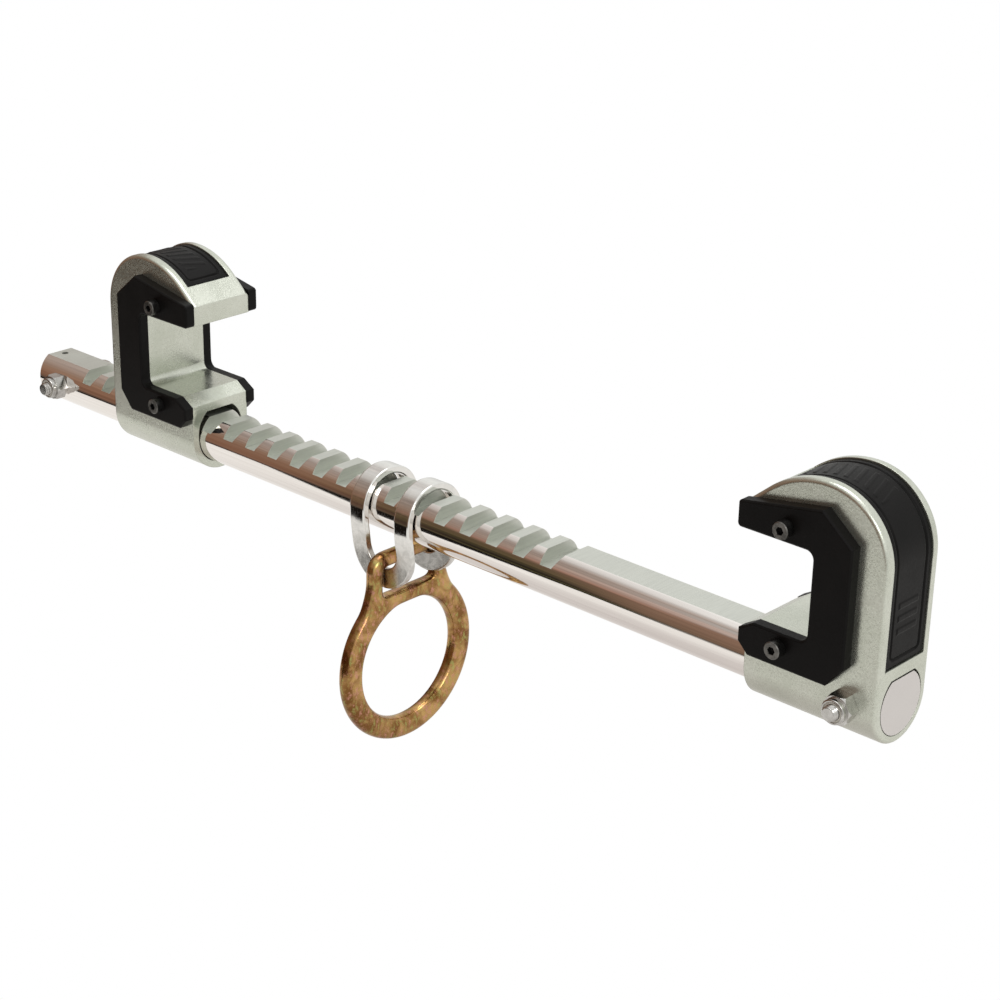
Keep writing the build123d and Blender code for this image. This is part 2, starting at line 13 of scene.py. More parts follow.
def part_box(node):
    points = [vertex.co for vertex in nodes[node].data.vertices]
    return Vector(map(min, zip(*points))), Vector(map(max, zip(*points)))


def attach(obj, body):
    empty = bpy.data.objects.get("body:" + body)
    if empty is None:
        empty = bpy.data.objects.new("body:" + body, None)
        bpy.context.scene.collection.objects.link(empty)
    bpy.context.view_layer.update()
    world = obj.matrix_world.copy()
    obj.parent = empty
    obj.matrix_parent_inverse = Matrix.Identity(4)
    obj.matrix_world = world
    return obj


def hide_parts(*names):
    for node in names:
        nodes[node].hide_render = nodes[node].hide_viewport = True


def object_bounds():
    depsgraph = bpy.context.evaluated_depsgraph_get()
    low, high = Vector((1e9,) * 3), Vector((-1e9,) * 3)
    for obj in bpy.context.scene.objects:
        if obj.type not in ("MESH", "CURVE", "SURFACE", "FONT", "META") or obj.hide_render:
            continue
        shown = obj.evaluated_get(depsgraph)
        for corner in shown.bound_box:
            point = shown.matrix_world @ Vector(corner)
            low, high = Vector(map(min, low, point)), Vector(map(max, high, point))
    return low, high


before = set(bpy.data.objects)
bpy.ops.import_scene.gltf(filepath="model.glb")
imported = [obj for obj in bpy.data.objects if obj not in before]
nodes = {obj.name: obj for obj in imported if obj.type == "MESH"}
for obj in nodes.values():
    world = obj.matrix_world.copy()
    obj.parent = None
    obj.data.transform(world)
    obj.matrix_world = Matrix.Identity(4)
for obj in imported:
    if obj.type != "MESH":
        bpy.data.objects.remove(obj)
cad_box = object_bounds()
MM = 0.001

# ---------------------------------------------------------------- sizes shared with the solids, in mm
AXIS_Z = -57.1  # the bar's axis
BAR_RADIUS = 12.7
BAR_MIDDLE = -206.4
BAR_HALF = 251.4
FIXED_NOSE_X = -14.0  # of each jaw's lower arm
SLIDING_NOSE_X = -333.92
JAW_HALF = 16.3
JAW_LENGTH = 59.0
CROWN_TOP = 83.0  # above the bar's axis
CROWN_RADIUS = 28.0
BROW_RADIUS = 39.5
NOSE_CHAMFER_RUN = 5.0
CHANNEL_DEPTH = 3.6
INLAY_TOP = 0.6
INLAY_HALF = 12.3
FIXED_INLAY_LOW = 16.3  # above the bar's axis
SLIDING_INLAY_LOW = 42.4
LINK_X = -210.4
LINK_HALF = 18.05
STRAP_WIDTH = 9.0
STRAP_THICKNESS = 3.3
HOOP_RADIUS = 13.5
HOOP_DROP = 0.593
HANG_HALF = 11.6
LINK_DROP = 33.5
NECK_TOP = 1.0
NECK_BOTTOM = 22.0
BOLT_RADIUS = 3.175

# ---------------------------------------------------------------- sizes of the visual's own detail, in mm
RIM_HIGHLIGHT = (24.7, 25.0)  # across the bar, where the painted highlight on a cap screw's rim starts and where it is full
FRAME_INSET = 3.3  # of the inlay's frame line from its edge
FRAME_CORNER = 2.0
FRAME_DEPTH = 0.7
RIB_END = 47.0  # from the inlay's nose end back to where its crown ribs start
RIB_SPAN = 38.0
RIB_PITCH = 4.6
RIB_HALF = 6.4
RIB_HEIGHT = 0.26
RIB_SLANT = 0.3
GRIP_LOW = 12.0  # above the inlay's lower end
GRIP_HIGH = 27.0
GRIP_PITCH = 5.0
INLAY_MESH = 0.3
INLAY_GAP = 0.1  # at the inlay's nose end
STRAP_CORNER = 0.75
STRAP_GUARD = 0.2  # from a rounded corner to the point that keeps the face beside it flat
SHOULDER_TOP = (19.3, -31.0, 3.75)  # across, up from the bar's axis, and radius
SHOULDER_FOOT = (28.6, -54.6, 5.2)
SHOULDER_FLATTEN = 0.72  # of the shoulder along the bar, at its foot
SHOULDER_BALLS = 25
FORGING_VOXEL = 0.55
THREAD_LENGTH = 11.0
THREAD_PITCH = 1.27
THREAD_DEPTH = 0.62
THREAD_TIP = 0.6  # the end's chamfer


# ================================================================ materials
class Look:
    """A principled material and short ways to add nodes to it."""

    def __init__(self, name, **inputs):
        self.material = bpy.data.materials.new(name)
        self.material.use_nodes = True
        self.tree = self.material.node_tree
        self.shader = self.tree.nodes["Principled BSDF"]
        self.coords = self.tree.nodes.new("ShaderNodeTexCoord").outputs["Object"]
        for key, value in inputs.items():
            self.shader.inputs[key.replace("_", " ")].default_value = value

    def node(self, kind, **links):
        made = self.tree.nodes.new(kind)
        for key, value in links.items():
            self.put(made.inputs[key.replace("_", " ")], value)
        return made

    def put(self, socket, value):
        if isinstance(value, bpy.types.NodeSocket):
            self.tree.links.new(value, socket)
        else:
            socket.default_value = value

    def math(self, operation, a, b=0.0):
        made = self.tree.nodes.new("ShaderNodeMath")
        made.operation = operation
        self.put(made.inputs[0], a)
        self.put(made.inputs[1], b)
        return made.outputs[0]

    def stretched(self, x, y, z):
        return self.node("ShaderNodeMapping", Vector=self.coords, Scale=(x, y, z)).outputs[0]

    def noise(self, scale, detail=2.0, roughness=0.5, vector=None, distortion=0.0):
        made = self.node(
            "ShaderNodeTexNoise",
            Vector=vector or self.coords,
            Scale=scale,
            Detail=detail,
            Roughness=roughness,
            Distortion=distortion,
        )
        return made.outputs["Fac"]

    def span(self, value, low, high, to_low, to_high):
        made = self.tree.nodes.new("ShaderNodeMapRange")
        for socket, number in zip(made.inputs, (value, low, high, to_low, to_high)):
            self.put(socket, number)
        return made.outputs[0]

    def blend(self, factor, first, second):
        made = self.tree.nodes.new("ShaderNodeMix")
        made.data_type = "RGBA"
        self.put(made.inputs[0], factor)
        for socket, value in ((made.inputs[6], first), (made.inputs[7], second)):
            if isinstance(value, tuple):
                value = (*value, 1.0)
            self.put(socket, value)
        return made.outputs[2]

    def colour(self, value):
        self.put(self.shader.inputs["Base Color"], value if not isinstance(value, tuple) else (*value, 1.0))

    def rough(self, value):
        self.put(self.shader.inputs["Roughness"], value)

    def bumps(self, *layers, edge=0.0):
        """Bump layers, each (height, strength, distance in metres), over edges softened by a bevel radius."""
        normal = None
        if edge:
            made = self.tree.nodes.new("ShaderNodeBevel")
            made.samples = 6
            made.inputs["Radius"].default_value = edge
            normal = made.outputs[0]
        for height, strength, distance in layers:
            made = self.node("ShaderNodeBump", Height=height, Strength=strength, Distance=distance)
            if normal:
                self.put(made.inputs["Normal"], normal)
            normal = made.outputs[0]
        self.put(self.shader.inputs["Normal"], normal)


def cast_look():
    """Satin cast alloy: fine tumbled grain, faint clouding."""
    look = Look("cast_alloy", Metallic=0.92)
    cloud = look.noise(55, 4, 0.6)
    grain = look.noise(1500, 3, 0.6)
    pale = look.blend(look.span(cloud, 0.35, 0.68, 0, 1), (0.56, 0.585, 0.505), (0.66, 0.68, 0.605))
    look.colour(look.blend(look.span(grain, 0.45, 0.72, 0, 0.45), pale, (0.40, 0.415, 0.355)))
    look.rough(look.span(look.math("ADD", cloud, look.math("MULTIPLY", grain, 0.5)), 0.5, 1.0, 0.21, 0.33))
    look.bumps((grain, 0.34, 0.00012), (look.noise(420, 2, 0.5), 0.18, 0.0002), edge=0.0005)
    return look.material


def bar_look():
    """The bar: a bright polished round side, and a satin milled flat and notches."""
    look = Look("bar_steel", Metallic=1.0)
    split = look.node("ShaderNodeSeparateXYZ", Vector=look.coords)
    y, z = split.outputs[1], look.math("ADD", split.outputs[2], -AXIS_Z * MM)
    radius = look.math("SQRT", look.math("ADD", look.math("MULTIPLY", y, y), look.math("MULTIPLY", z, z)))
    round_side = look.span(radius, (BAR_RADIUS - 0.12) * MM, (BAR_RADIUS - 0.04) * MM, 0, 1)
    drawn = look.noise(1, 3, 0.55, look.stretched(14, 900, 900))
    milled = look.noise(1, 3, 0.6, look.stretched(1600, 60, 900))
    cloud = look.noise(70, 3, 0.5)
    satin = look.blend(look.span(milled, 0.3, 0.7, 0, 1), (0.55, 0.565, 0.52), (0.62, 0.635, 0.585))
    bright = look.blend(look.span(drawn, 0.3, 0.7, 0, 1), (0.84, 0.80, 0.765), (0.93, 0.895, 0.86))
    from_middle = look.math("ABSOLUTE", look.math("ADD", split.outputs[0], -BAR_MIDDLE * MM))
    end = look.span(from_middle, (BAR_HALF - 0.25) * MM, (BAR_HALF - 0.15) * MM, 0, 1)
    faced = look.blend(end, satin, (0.66, 0.635, 0.62))
    look.colour(look.blend(round_side, faced, bright))
    satin_rough = look.span(cloud, 0.3, 0.7, 0.36, 0.46)
    bright_rough = look.span(drawn, 0.3, 0.7, 0.045, 0.09)
    mixed = look.math("ADD", look.math("MULTIPLY", round_side, bright_rough),
                      look.math("MULTIPLY", look.math("SUBTRACT", 1.0, round_side), satin_rough))
    look.rough(mixed)
    not_end = look.math("SUBTRACT", 1.0, end)
    cut = look.math("MULTIPLY", look.math("SUBTRACT", 1.0, round_side), milled)
    fine = look.math("MULTIPLY", cut, not_end)
    look.bumps((fine, 0.08, 0.0001), (drawn, 0.02, 0.00005))
    return look.material


def plain_look(name, dark, light, metallic, rough, cloud_scale, grain_scale, grain, edge=0.0, **inputs):
    """A look with two close colours in clouds, a roughness range and a fine grain."""
    look = Look(name, Metallic=metallic, **inputs)
    cloud = look.noise(cloud_scale, 4, 0.6)
    speck = look.noise(grain_scale, 3, 0.6)
    look.colour(look.blend(look.span(cloud, 0.35, 0.65, 0, 1), dark, light))
    look.rough(look.span(look.math("MULTIPLY", look.math("ADD", cloud, speck), 0.5), 0.35, 0.65, *rough))
    look.bumps((speck, grain, 0.0001), edge=edge)
    return look.material


def gold_look():
    """Yellow passivated zinc on a forging: gold with drifting pink and green, and a soft forged skin."""
    look = Look("yellow_zinc", Metallic=1.0)
    drift = look.noise(90, 4, 0.6, distortion=0.6)
    patch = look.noise(330, 5, 0.7, look.stretched(1.0, 1.3, 0.8))
    speck = look.noise(1500, 3, 0.6)
    gold = look.blend(look.span(drift, 0.40, 0.60, 0, 1), (0.22, 0.10, 0.030), (0.54, 0.33, 0.125))
    pink = look.blend(look.span(patch, 0.54, 0.64, 0, 0.8), gold, (0.60, 0.29, 0.21))
    green = look.blend(look.span(patch, 0.45, 0.36, 0, 0.7), pink, (0.40, 0.40, 0.13))
    look.colour(look.blend(look.span(speck, 0.55, 0.75, 0, 0.4), green, (0.16, 0.085, 0.032)))
    look.rough(look.span(patch, 0.3, 0.7, 0.14, 0.27))
    look.bumps((look.noise(210, 2, 0.5), 0.32, 0.0005), (speck, 0.2, 0.0001))
    return look.material


def link_look():
    """The link: polished round the bar, mottled and duller on its hanging ends."""
    look = Look("polished_link", Metallic=1.0)
    height = look.node("ShaderNodeSeparateXYZ", Vector=look.coords).outputs[2]
    cloud = look.noise(260, 4, 0.65, distortion=0.4)
    speck = look.noise(1600, 3, 0.6)
    low = look.span(look.math("ADD", height, look.math("MULTIPLY", cloud, 0.008)), -0.058, -0.068, 0, 1)
    hoop = look.blend(look.span(cloud, 0.35, 0.65, 0, 1), (0.76, 0.755, 0.73), (0.82, 0.81, 0.78))
    hanging = look.blend(look.span(cloud, 0.40, 0.60, 0, 1), (0.60, 0.59, 0.56), (0.74, 0.73, 0.70))
    look.colour(look.blend(low, hoop, hanging))
    look.rough(look.math("ADD", look.span(cloud, 0.35, 0.65, 0.035, 0.08), look.math("MULTIPLY", low, 0.17)))
    look.bumps((cloud, 0.025, 0.0002), (speck, 0.04, 0.0001))
    return look.material


def screw_look():
    """Black oxide, with a painted highlight: a brighter ring on the rim of the head."""
    look = Look("black_oxide", Metallic=0.9)
    across = look.node("ShaderNodeSeparateXYZ", Vector=look.coords).outputs[1]
    cloud = look.noise(300, 4, 0.6)
    black = look.blend(look.span(cloud, 0.35, 0.65, 0, 1), (0.030, 0.029, 0.028), (0.060, 0.058, 0.056))
    # a lighter, mottled ring on the head's rim: a painted highlight
    highlight_ring = look.span(look.math("ABSOLUTE", across), RIM_HIGHLIGHT[0] * MM, RIM_HIGHLIGHT[1] * MM, 0, 1)
    highlight_grey = look.blend(look.span(cloud, 0.40, 0.60, 0, 1), (0.075, 0.073, 0.068), (0.17, 0.165, 0.155))
    look.colour(look.blend(highlight_ring, black, highlight_grey))
    look.rough(look.span(cloud, 0.3, 0.7, 0.26, 0.38))
    look.bumps((look.noise(2200, 3, 0.6), 0.12, 0.0001), edge=0.00015)
    return look.material


cast = cast_look()
steel_bar = bar_look()
polymer = plain_look("black_polymer", (0.0022, 0.0019, 0.0018), (0.0046, 0.0041, 0.0039), 0.0, (0.36, 0.52),
                     90, 1300, 0.4, edge=0.0006, Specular_IOR_Level=0.11)
rubber = plain_look("black_rubber", (0.0022, 0.0019, 0.0018), (0.0044, 0.0040, 0.0038), 0.0, (0.34, 0.50),
                    120, 1500, 0.4, Specular_IOR_Level=0.11)
black_oxide = screw_look()
zinc = plain_look("bright_zinc", (0.42, 0.41, 0.39), (0.60, 0.59, 0.565), 1.0, (0.09, 0.19),
                  260, 2200, 0.10, edge=0.0002)
nylon = plain_look("nylon", (0.52, 0.50, 0.44), (0.62, 0.60, 0.54), 0.0, (0.40, 0.52), 300, 2200, 0.10)
machined = plain_look("machined_steel", (0.42, 0.42, 0.41), (0.56, 0.56, 0.55), 1.0, (0.26, 0.38),
                      300, 2200, 0.12)
polished_link = link_look()
gold = gold_look()

looks = {
    "rail_bar": steel_bar,
    "fixed_jaw": cast,
    "sliding_jaw": cast,
    "thumb_catch": cast,
    "ratchet_pawl": machined,
    "pawl_spring": machined,
    "catch_screw": zinc,
    "saddle_link": polished_link,
    "anchor_ring": gold,
}
for name in nodes:
    if name.endswith("_pad"):
        looks[name] = polymer
    elif name.endswith("_screws"):
        looks[name] = black_oxide
    elif name.endswith("_inlay"):
        looks[name] = rubber
    elif name.endswith("_insert"):
        looks[name] = nylon
    elif name.endswith("_bolt") or name.endswith("_nut"):
        looks[name] = zinc
for name, node in nodes.items():
    for place in node.material_slots:
        place.material = looks[name]


# ================================================================ meshes
def new_piece(name, points, faces, material, smooth=True):
    mesh = bpy.data.meshes.new(name)
    mesh.from_pydata(points, [], faces)
    mesh.materials.append(material)
    mesh.polygons.foreach_set("use_smooth", [smooth] * len(mesh.polygons))
    piece = bpy.data.objects.new(name, mesh)
    bpy.context.scene.collection.objects.link(piece)
    return piece


def tidy_normals(piece):
    shape = bmesh.new()
    shape.from_mesh(piece.data)
    bmesh.ops.remove_doubles(shape, verts=shape.verts, dist=1e-6)
    bmesh.ops.recalc_face_normals(shape, faces=shape.faces)
    shape.to_mesh(piece.data)
    shape.free()


def step(value, low, high):
    """0 below low, 1 above high, smooth between."""
    t = min(1.0, max(0.0, (value - low) / (high - low)))
    return t * t * (3 - 2 * t)


def back_point(s, low):
    """A jaw's back outline at a distance s above its lower end: the point and the outward normal, in mm."""
    straight = CROWN_TOP - CROWN_RADIUS - low
    crown = CROWN_RADIUS * math.pi / 2
    if s < straight:
        return (JAW_LENGTH, low + s), (1.0, 0.0)
    if s < straight + crown:
        angle = (s - straight) / CROWN_RADIUS
        normal = (math.cos(angle), math.sin(angle))
        centre = (JAW_LENGTH - CROWN_RADIUS, CROWN_TOP - CROWN_RADIUS)
        return (centre[0] + CROWN_RADIUS * normal[0], centre[1] + CROWN_RADIUS * normal[1]), normal
    angle = (s - straight - crown) / BROW_RADIUS
    normal = (-math.sin(angle), math.cos(angle))
    centre = (JAW_LENGTH - CROWN_RADIUS, CROWN_TOP - BROW_RADIUS)
    return (centre[0] + BROW_RADIUS * normal[0], centre[1] + BROW_RADIUS * normal[1]), normal


def inlay_relief(s, t, length):
    """How far the inlay's face stands below its top, at s along it and t across it, in mm."""
    edge = min(s, length - s, INLAY_HALF - abs(t))
    relief = 0.45 * (1 - step(edge, 0.0, 0.6))
    # the rounded frame line round the panel
    inner_u, inner_t = length / 2 - FRAME_INSET, INLAY_HALF - FRAME_INSET
    du, dt = abs(s - length / 2) - inner_u + FRAME_CORNER, abs(t) - inner_t + FRAME_CORNER
    outside = math.hypot(max(du, 0), max(dt, 0)) + min(max(du, dt), 0) - FRAME_CORNER
    relief += FRAME_DEPTH * (step(outside, -0.5, -0.1) - step(outside, 0.3, 0.7))
    relief += 0.12 * (1 - step(outside, -0.5, -0.1))
    # slanted ribs on the crown, and a few level grip bars near a long inlay's lower end
    crown = s - (length - RIB_END)
    if 0 < crown < RIB_SPAN:
        phase = ((crown - RIB_SLANT * t) % RIB_PITCH) / RIB_PITCH
        rib = step(phase, 0.10, 0.26) - step(phase, 0.50, 0.66)
        rib *= step(min(crown, RIB_SPAN - crown), 0.0, 0.8)
        relief -= RIB_HEIGHT * rib * step(RIB_HALF - abs(t), 0.0, 0.6)
    elif GRIP_LOW < s < GRIP_HIGH < length / 3:
        phase = ((s - GRIP_LOW) % GRIP_PITCH) / GRIP_PITCH
        bar = step(phase, 0.10, 0.22) - step(phase, 0.55, 0.67)
        relief -= RIB_HEIGHT * bar * step(RIB_HALF - abs(t), 0.0, 0.6)
    return relief


def jaw_inlay(name, nose_x, back, low, body):
    """The moulded rubber band in a jaw's channel, with a frame line and slanted ribs."""
    straight = CROWN_TOP - CROWN_RADIUS - low
    lean = math.asin((JAW_LENGTH - CROWN_RADIUS - NOSE_CHAMFER_RUN) / BROW_RADIUS)
    length = straight + CROWN_RADIUS * math.pi / 2 + BROW_RADIUS * lean - INLAY_GAP
    rows, columns = round(length / INLAY_MESH), round(2 * INLAY_HALF / INLAY_MESH)
    points, faces = [], []
    for i in range(rows + 1):
        s = length * i / rows
        (u, w), (nu, nw) = back_point(s, low)
        ring = [(-INLAY_HALF, CHANNEL_DEPTH)]
        for j in range(columns + 1):
            t = -INLAY_HALF + 2 * INLAY_HALF * j / columns
            ring.append((t, INLAY_TOP + inlay_relief(s, t, length)))
        ring.append((INLAY_HALF, CHANNEL_DEPTH))
        for t, inset in ring:
            points.append(((nose_x + back * (u - inset * nu)) * MM, t * MM, (AXIS_Z + w - inset * nw) * MM))
    wide = columns + 3
    for i in range(rows):
        for j in range(wide):
            k = (j + 1) % wide
            faces.append((i * wide + j, i * wide + k, (i + 1) * wide + k, (i + 1) * wide + j))
    faces.append(tuple(range(wide)))
    faces.append(tuple(rows * wide + j for j in range(wide)))
    piece = new_piece(f"{name}_moulded", points, faces, rubber)
    tidy_normals(piece)
    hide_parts(name)
    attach(piece, body)


jaw_inlay("fixed_jaw_inlay", FIXED_NOSE_X, 1, FIXED_INLAY_LOW, "rail")
jaw_inlay("sliding_jaw_inlay", SLIDING_NOSE_X, -1, SLIDING_INLAY_LOW, "jaw")


# ---------------------------------------------------------------- link
def link_side(v):
    """The strap's middle line in side view, at v from the hoop's crown: the point and the normal, in mm."""
    grow = STRAP_THICKNESS / 2
    radius = HOOP_RADIUS + grow
    quarter = radius * math.pi / 2
    drop = NECK_TOP - HOOP_DROP
    neck = NECK_BOTTOM - NECK_TOP
    side = 1 if v >= 0 else -1
    v = abs(v)
    if v < quarter:
        across, up = math.sin(v / radius), math.cos(v / radius)
        return (side * radius * across, radius * up - HOOP_DROP), (side * across, up)
    v -= quarter
    if v < drop:
        return (side * radius, -HOOP_DROP - v), (side, 0.0)
    v -= drop
    if v < neck:
        lean = radius - HANG_HALF - grow
        y = radius - lean * step(v, 0, neck)
        slope = -lean * 6 * (v / neck) * (1 - v / neck) / neck
        size = math.hypot(1, slope)
        return (side * y, -NECK_TOP - v), (side / size, slope / size)
    v -= neck
    return (side * (HANG_HALF + grow), -NECK_BOTTOM - v), (side, 0.0)


def saddle_link():
    """The strap as one rounded bar round a racetrack, folded over the bar."""
    radius = HOOP_RADIUS + STRAP_THICKNESS / 2
    reach = radius * math.pi / 2 + LINK_DROP - HOOP_DROP
    bend = LINK_HALF - STRAP_WIDTH / 2
    straight = reach - LINK_HALF
    path = []
    along, turn = 150, 44
    for i in range(along):
        path.append((bend, -straight + 2 * straight * i / along, 1.0, 0.0))
    for i in range(turn):
        angle = math.pi * i / turn
        nx, nv = math.cos(angle), math.sin(angle)
        path.append((bend * nx, straight + bend * nv, nx, nv))
    path += [(-x, -v, -nx, -nv) for x, v, nx, nv in path]
    corner, half_w, half_t = STRAP_CORNER, STRAP_WIDTH / 2, STRAP_THICKNESS / 2
    section = []
    for cx, cy, start in ((1, 1, 0), (-1, 1, 90), (-1, -1, 180), (1, -1, 270)):
        for k in range(-1, 8):
            angle = math.radians(start + 15 * min(6, max(0, k)))
            slip = STRAP_GUARD * (min(0, k) + max(6, k) - 6)
            across = cx * (half_w - corner) + corner * math.cos(angle) - slip * math.sin(angle)
            through = cy * (half_t - corner) + corner * math.sin(angle) + slip * math.cos(angle)
            section.append((across, through))
    points, faces = [], []
    for x, v, nx, nv in path:
        for across, through in section:
            (y, z), (my, mz) = link_side(v + nv * across)
            place = (LINK_X + x + nx * across, y + my * through, AXIS_Z + z + mz * through)
            points.append(tuple(MM * c for c in place))
    count, wide = len(path), len(section)
    for i in range(count):
        for j in range(wide):
            a, b, k = i * wide, ((i + 1) % count) * wide, (j + 1) % wide
            faces.append((a + j, a + k, b + k, b + j))
    piece = new_piece("saddle_link_strap", points, faces, polished_link)
    tidy_normals(piece)
    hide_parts("saddle_link")
    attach(piece, "link")


saddle_link()


# ---------------------------------------------------------------- anchor ring
def anchor_ring():
    """The forged ring: the solid's own shape, with its shoulders run together and its skin softened."""
    shape = bmesh.new()
    shape.from_mesh(nodes["anchor_ring"].data)
    # balls along each shoulder, which the remesh runs together with the post and the bow
    for side in (-1, 1):
        for k in range(SHOULDER_BALLS):
            t = k / (SHOULDER_BALLS - 1)
            y, z, radius = SHOULDER_TOP
            y += (SHOULDER_FOOT[0] - y) * (0.25 * t + 0.75 * t * t)
            z += (SHOULDER_FOOT[1] - z) * t
            radius += (SHOULDER_FOOT[2] - radius) * t
            place = Matrix.Translation((LINK_X * MM, side * y * MM, (AXIS_Z + z) * MM))
            place @= Matrix.Scale(1 + (SHOULDER_FLATTEN - 1) * t, 4, (1, 0, 0))
            bmesh.ops.create_icosphere(shape, subdivisions=3, radius=radius * MM, matrix=place)
    joined = bpy.data.meshes.new("anchor_ring_forging")
    shape.to_mesh(joined)
    shape.free()
    piece = bpy.data.objects.new("anchor_ring_forging", joined)
    bpy.context.scene.collection.objects.link(piece)
    remesh = piece.modifiers.new("skin", "REMESH")
    remesh.mode = "VOXEL"
    remesh.voxel_size = FORGING_VOXEL * MM
    remesh.use_smooth_shade = True
    soften = piece.modifiers.new("soften", "SMOOTH")
    soften.factor = 0.5
    soften.iterations = 80
    graph = bpy.context.evaluated_depsgraph_get()
    mesh = bpy.data.meshes.new_from_object(piece.evaluated_get(graph))
    piece.modifiers.clear()
    piece.data = mesh
    mesh.materials.clear()
    mesh.materials.append(gold)
    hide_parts("anchor_ring")
    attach(piece, "ring")


anchor_ring()


# ---------------------------------------------------------------- bolts
def threaded_bolt(name, half_width):
    """The solid's hexagon head on a shank whose end is threaded."""
    low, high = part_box(name)
    x, tip, seat = (low[0] + high[0]) / 2, low[1], half_width * MM
    shape = bmesh.new()
    shape.from_mesh(nodes[name].data)
    under = [v for v in shape.verts if v.co.y < seat - 0.0001]
    bmesh.ops.delete(shape, geom=under, context="VERTS")
    around, steps = 48, 90
    radius, pitch, depth = BOLT_RADIUS * MM, THREAD_PITCH * MM, THREAD_DEPTH * MM
    length = seat - tip
    plain = length - THREAD_LENGTH * MM
    stations = [0.0, plain] + [plain + (length - plain) * k / steps for k in range(1, steps + 1)]
    rows = []
    for s in stations:
        row = []
        for k in range(around):
            angle = 2 * math.pi * k / around
            phase = ((s / pitch) - k / around) % 1.0
            groove = 0.0 if s <= plain else depth * (1 - abs(2 * phase - 1)) ** 0.8
            out = min(radius - groove, radius - THREAD_TIP * MM + (length - s))
            place = (x + out * math.cos(angle), seat - s, AXIS_Z * MM + out * math.sin(angle))
            row.append(shape.verts.new(place))
        rows.append(row)
    for a, b in zip(rows, rows[1:]):
        for k in range(around):
            shape.faces.new((a[k], a[(k + 1) % around], b[(k + 1) % around], b[k]))
    shape.faces.new(rows[-1])
    mesh = bpy.data.meshes.new(f"{name}_threaded")
    bmesh.ops.recalc_face_normals(shape, faces=shape.faces)
    shape.to_mesh(mesh)
    shape.free()
    mesh.materials.clear()
    mesh.materials.append(zinc)
    piece = bpy.data.objects.new(f"{name}_threaded", mesh)
    bpy.context.scene.collection.objects.link(piece)
    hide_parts(name)
    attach(piece, "rail")


threaded_bolt("fixed_jaw_bolt", JAW_HALF)
threaded_bolt("end_stop_bolt", BAR_RADIUS)

# ================================================================ floor, light and camera
# in metres; the floor's outline is round the point below the link, and ends on the left of the camera,
# where the bright steel mirrors a darker room instead
FLOOR_BELOW = 0.28
FLOOR_OUTLINE = [
    (9, -0.95),
    (-0.62, -0.95),
    (-0.494, -0.418),
    (-0.85, -0.74),
    (-1.08, -0.948),
    (-1.08, 9),
    (9, 9),
]
CAMERA_PLACE = (0.42844, -0.63214, 0.32291)
CAMERA_RIGHT = (0.7297, 0.6836, 0.0179)
CAMERA_FORWARD = (-0.62563, 0.67789, -0.38608)
CAMERA_LENS = 80.78

middle = Vector((LINK_X * MM, 0, cad_box[0][2] - FLOOR_BELOW))
corners = [middle + Vector((x, y, 0)) for x, y in FLOOR_OUTLINE]


class Shades:
    """Short ways to add nodes to a stage shader, one that only lights and surrounds the object."""

    def __init__(self, tree):
        self.tree = tree
        tree.nodes.clear()

    def node(self, kind, *values, **settings):
        made = self.tree.nodes.new(kind)
        for key, value in settings.items():
            setattr(made, key, value)
        for socket, value in zip(made.inputs, values):
            self.put(socket, value)
        return made

    def put(self, socket, value):
        if isinstance(value, bpy.types.NodeSocket):
            self.tree.links.new(value, socket)
        elif isinstance(value, tuple) and len(value) == 3 and socket.type == "RGBA":
            socket.default_value = (*value, 1.0)
        else:
            socket.default_value = value

    def span(self, value, low, high):
        made = self.node("ShaderNodeMapRange", value, low, high, 0.0, 1.0, interpolation_type="SMOOTHSTEP")
        return made.outputs[0]

    def blend(self, factor, first, second):
        made = self.node("ShaderNodeMix", data_type="RGBA")
        for socket, value in zip((made.inputs[0], made.inputs[6], made.inputs[7]), (factor, first, second)):
            self.put(socket, value)
        return made.outputs[2]

    def ramp(self, value, *stops):
        """A colour ramp whose stops are places from -1 to 1 and colours."""
        place = self.node("ShaderNodeMapRange", value, -1.0, 1.0, 0.0, 1.0).outputs[0]
        made = self.node("ShaderNodeValToRGB", place)
        elements = made.color_ramp.elements
        while len(elements) < len(stops):
            elements.new(0.5)
        for element, (place, colour) in zip(elements, stops):
            element.position = (place + 1) / 2
            element.color = (*colour, 1.0)
        return made.outputs[0]

    def shine(self, colour, kind, output):
        """Shows plain white to the camera and this colour to everything that mirrors it."""
        seen = self.node("ShaderNodeLightPath").outputs["Is Camera Ray"]
        shine = self.node(kind, self.blend(seen, colour, (1.0, 1.0, 1.0)), 1.0)
        self.tree.links.new(shine.outputs[0], self.node(output).inputs[0])


paper = bpy.data.materials.new("paper_floor")
paper.use_nodes = True
shades = Shades(paper.node_tree)
place = shades.node("ShaderNodeNewGeometry").outputs["Position"]
away = shades.node("ShaderNodeVectorMath", place, tuple(middle), operation="DISTANCE").outputs["Value"]
# the floor glows; to reflections and the light it gives it is darker near the point below the link and paler
# far away, a painted shadow under the object, while the camera sees it plain white
shades.shine(shades.blend(shades.span(away, 0.05, 0.75), (0.66, 0.62, 0.60), (0.92, 0.90, 0.87)),
             "ShaderNodeEmission", "ShaderNodeOutputMaterial")
floor = new_piece("floor", corners, [tuple(range(len(corners)))], paper, smooth=False)

world = bpy.data.worlds.new("studio")
bpy.context.scene.world = world
world.use_nodes = True
shades = Shades(world.node_tree)
direction = shades.node("ShaderNodeTexCoord").outputs["Generated"]
parts = shades.node("ShaderNodeSeparateXYZ", direction)
height = parts.outputs[2]
bearing = shades.node("ShaderNodeMath", parts.outputs[1], parts.outputs[0], operation="ARCTAN2").outputs[0]
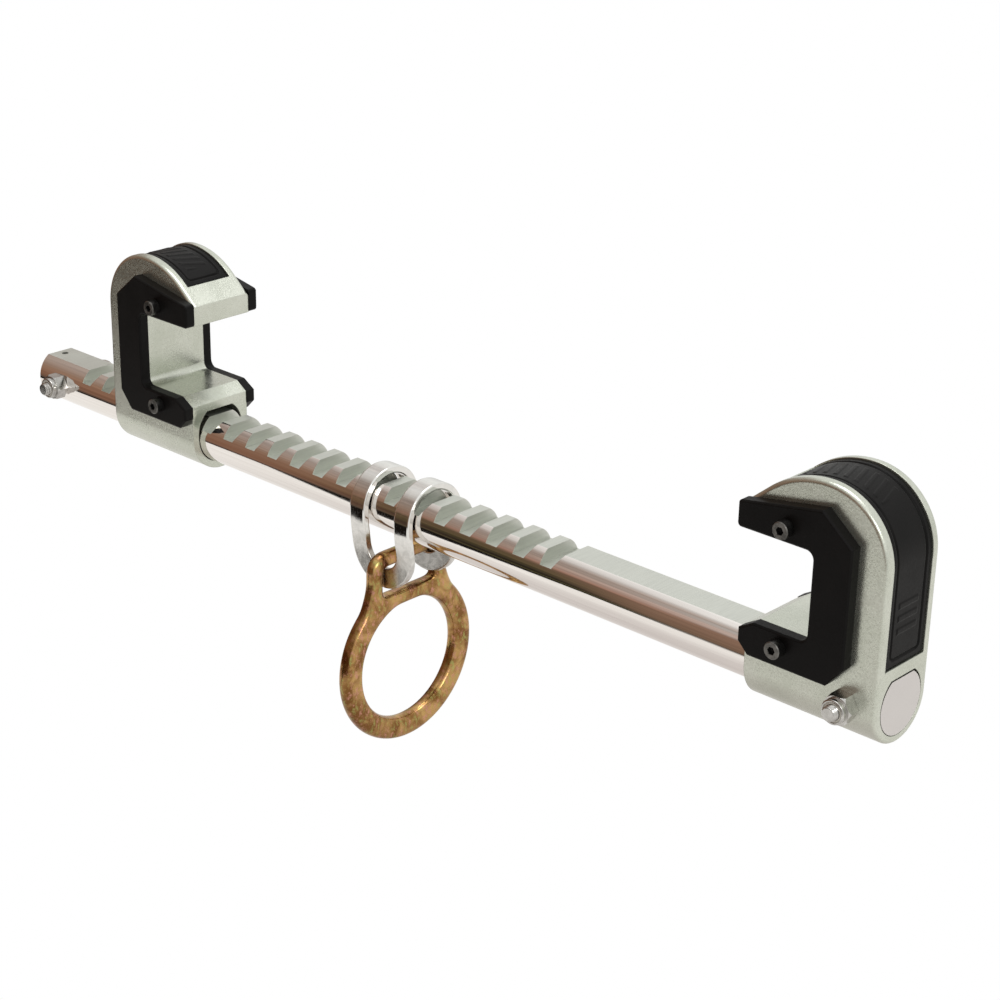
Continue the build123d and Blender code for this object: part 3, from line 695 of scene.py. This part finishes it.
# the room's walls from left to right, each by height, and the bearings where one turns into the next
left_wall = shades.ramp(
    height,
    (-0.30, (0.012, 0.009, 0.007)),
    (-0.26, (0.13, 0.09, 0.07)),
    (-0.20, (0.24, 0.13, 0.085)),
    (0.0, (0.31, 0.155, 0.095)),
    (0.30, (0.34, 0.215, 0.15)),
    (0.75, (0.52, 0.45, 0.41)),
)
wall = shades.ramp(
    height,
    (-0.42, (0.003, 0.003, 0.003)),
    (-0.29, (0.012, 0.010, 0.008)),
    (-0.25, (0.12, 0.105, 0.045)),
    (-0.21, (0.020, 0.016, 0.012)),
    (-0.12, (0.045, 0.036, 0.022)),
    (-0.03, (0.085, 0.068, 0.032)),
    (0.12, (0.12, 0.085, 0.045)),
    (0.24, (0.44, 0.25, 0.185)),
    (0.48, (0.60, 0.46, 0.40)),
    (0.62, (0.52, 0.52, 0.50)),
)
right_wall = shades.ramp(
    height,
    (-0.31, (0.86, 0.84, 0.80)),
    (-0.26, (0.12, 0.09, 0.07)),
    (-0.18, (0.24, 0.15, 0.10)),
    (0.30, (0.30, 0.18, 0.125)),
    (0.42, (0.60, 0.52, 0.48)),
    (0.7, (0.74, 0.67, 0.64)),
)
room = shades.blend(shades.span(bearing, -2.37, -2.26), left_wall, wall)
room = shades.blend(shades.span(bearing, -2.22, -2.165), room, right_wall)
streaks = shades.node("ShaderNodeTexNoise", direction, 0.0, 9.0, 4.0, 0.6).outputs[0]
room = shades.blend(shades.span(streaks, 0.30, 0.72), shades.blend(0.35, room, (0.0, 0.0, 0.0)), room)
sky = shades.ramp(height, (-0.3, (0.62, 0.62, 0.60)), (0.25, (0.93, 0.93, 0.91)), (0.9, (1.0, 1.0, 0.99)))
toward = shades.node("ShaderNodeVectorMath", direction, (-0.80, -0.60, 0.0), operation="DOT_PRODUCT")
sideways = shades.span(toward.outputs["Value"], 0.10, 0.42)
inside = shades.node("ShaderNodeMath", sideways, shades.span(height, 0.85, 0.62), operation="MULTIPLY")
shades.shine(shades.blend(inside.outputs[0], sky, room), "ShaderNodeBackground", "ShaderNodeOutputWorld")


def soft_light(name, place, target, size, power):
    lamp = bpy.data.lights.new(name, "AREA")
    lamp.shape = "DISK"
    lamp.size = size
    lamp.energy = power
    light = bpy.data.objects.new(name, lamp)
    light.location = place
    light.rotation_euler = (Vector(target) - Vector(place)).to_track_quat("-Z", "Y").to_euler()
    bpy.context.scene.collection.objects.link(light)


soft_light("overhead", (-0.15, 0.25, 1.5), (-0.2, 0, 0), 1.1, 9)
soft_light("front_right", (1.1, -0.9, 0.9), (-0.1, 0, -0.05), 0.7, 4)

camera = bpy.data.objects.new("camera", bpy.data.cameras.new("camera"))
right = Vector(CAMERA_RIGHT).normalized()
forward = Vector(CAMERA_FORWARD).normalized()
up = right.cross(forward).normalized()
turn = Matrix((right, up, -forward)).transposed().to_4x4()
camera.matrix_world = Matrix.Translation(CAMERA_PLACE) @ turn
camera.data.lens = CAMERA_LENS
camera.data.sensor_width = 36.0
camera.data.clip_start = 0.01
bpy.context.scene.collection.objects.link(camera)
bpy.context.scene.camera = camera
bpy.context.scene.view_settings.view_transform = "Standard"

bpy.context.view_layer.update()
